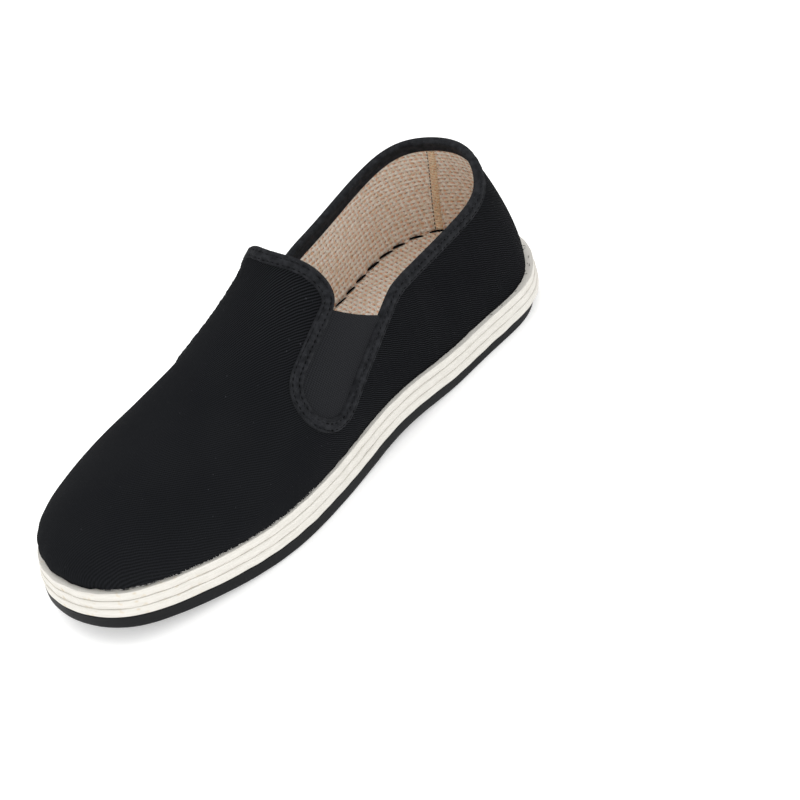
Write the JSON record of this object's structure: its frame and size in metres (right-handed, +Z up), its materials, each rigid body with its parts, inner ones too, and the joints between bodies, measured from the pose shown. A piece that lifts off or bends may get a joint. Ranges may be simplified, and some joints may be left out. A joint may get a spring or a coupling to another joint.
{
  "type": "chinese cloth shoe",
  "caption": "Low slip-on cloth shoe with a long plain vamp, elastic side gores, a bound opening, a stacked cloth sole and a thin rubber outsole.",
  "frame": {"origin": "middle of the footprint's bounding box, on the floor", "axes": "+X runs from the heel to the toe, +Y to the wearer's left, which is the outer side of this left shoe, +Z up"},
  "size_m": [0.275, 0.0933, 0.0891],
  "materials": {
    "rubber": "matte",
    "white_cotton": "matte",
    "woven_lining": "matte",
    "black_cotton": "matte",
    "black_tape": "matte",
    "black_elastic": "matte"
  },
  "bodies": {
    "root": {"outsole": "rubber", "white_layer_1": "white_cotton", "white_layer_2": "white_cotton", "white_layer_3": "white_cotton", "insole": "woven_lining", "upper": "black_cotton", "binding": "black_tape", "gore_outer": "black_elastic", "gore_inner": "black_elastic"}
  },
  "joints": []
}
